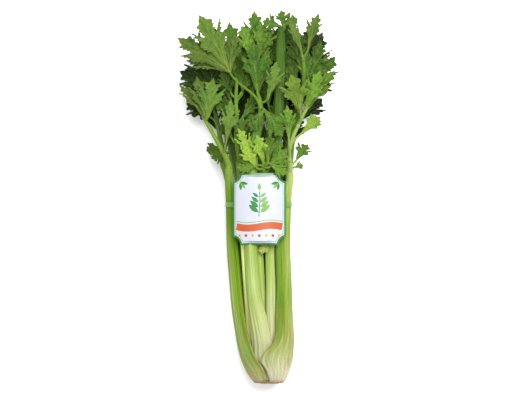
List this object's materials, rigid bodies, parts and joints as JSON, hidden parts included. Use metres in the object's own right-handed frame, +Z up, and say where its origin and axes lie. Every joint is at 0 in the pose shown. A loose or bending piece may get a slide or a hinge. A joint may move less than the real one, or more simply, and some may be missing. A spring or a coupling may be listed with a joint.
{
  "type": "head of celery",
  "caption": "Fresh head of celery with ribbed pale green stalks and leafy tops, lying on its back, tied with a narrow band that holds a plain printed label.",
  "frame": {"origin": "middle of the underside of the box round the whole head, on the surface that it lies on", "axes": "+Y from the cut base to the leaf tips, +Z up to the side that carries the label, +X to the right as seen from above"},
  "size_m": [0.1938, 0.448, 0.0882],
  "materials": {
    "stalk": "satin",
    "heart": "satin",
    "leaf": "satin",
    "young_leaf": "satin",
    "crown": "matte",
    "band": "gloss",
    "label": "satin"
  },
  "bodies": {
    "root": {"crown": "crown", "stalk_left": "stalk", "frond_left": "leaf", "stalk_right": "stalk", "frond_right": "leaf", "stalk_centre": "stalk", "frond_centre": "leaf", "stalk_back_left": "stalk", "frond_back_left": "leaf", "stalk_back_right": "stalk", "frond_back_right": "leaf", "stalk_side_left": "stalk", "frond_side_left": "leaf", "stalk_side_right": "stalk", "frond_side_right": "leaf", "stalk_inner_back": "heart", "frond_inner_back": "leaf", "stalk_inner_left": "heart", "frond_inner_left": "leaf", "stalk_inner_right": "heart", "frond_inner_right": "leaf", "stalk_heart_front": "heart", "frond_heart_front": "young_leaf", "stalk_heart_left": "heart", "frond_heart_left": "young_leaf", "stalk_heart_right": "heart", "frond_heart_right": "young_leaf", "band": "band", "label": "label"}
  },
  "joints": []
}
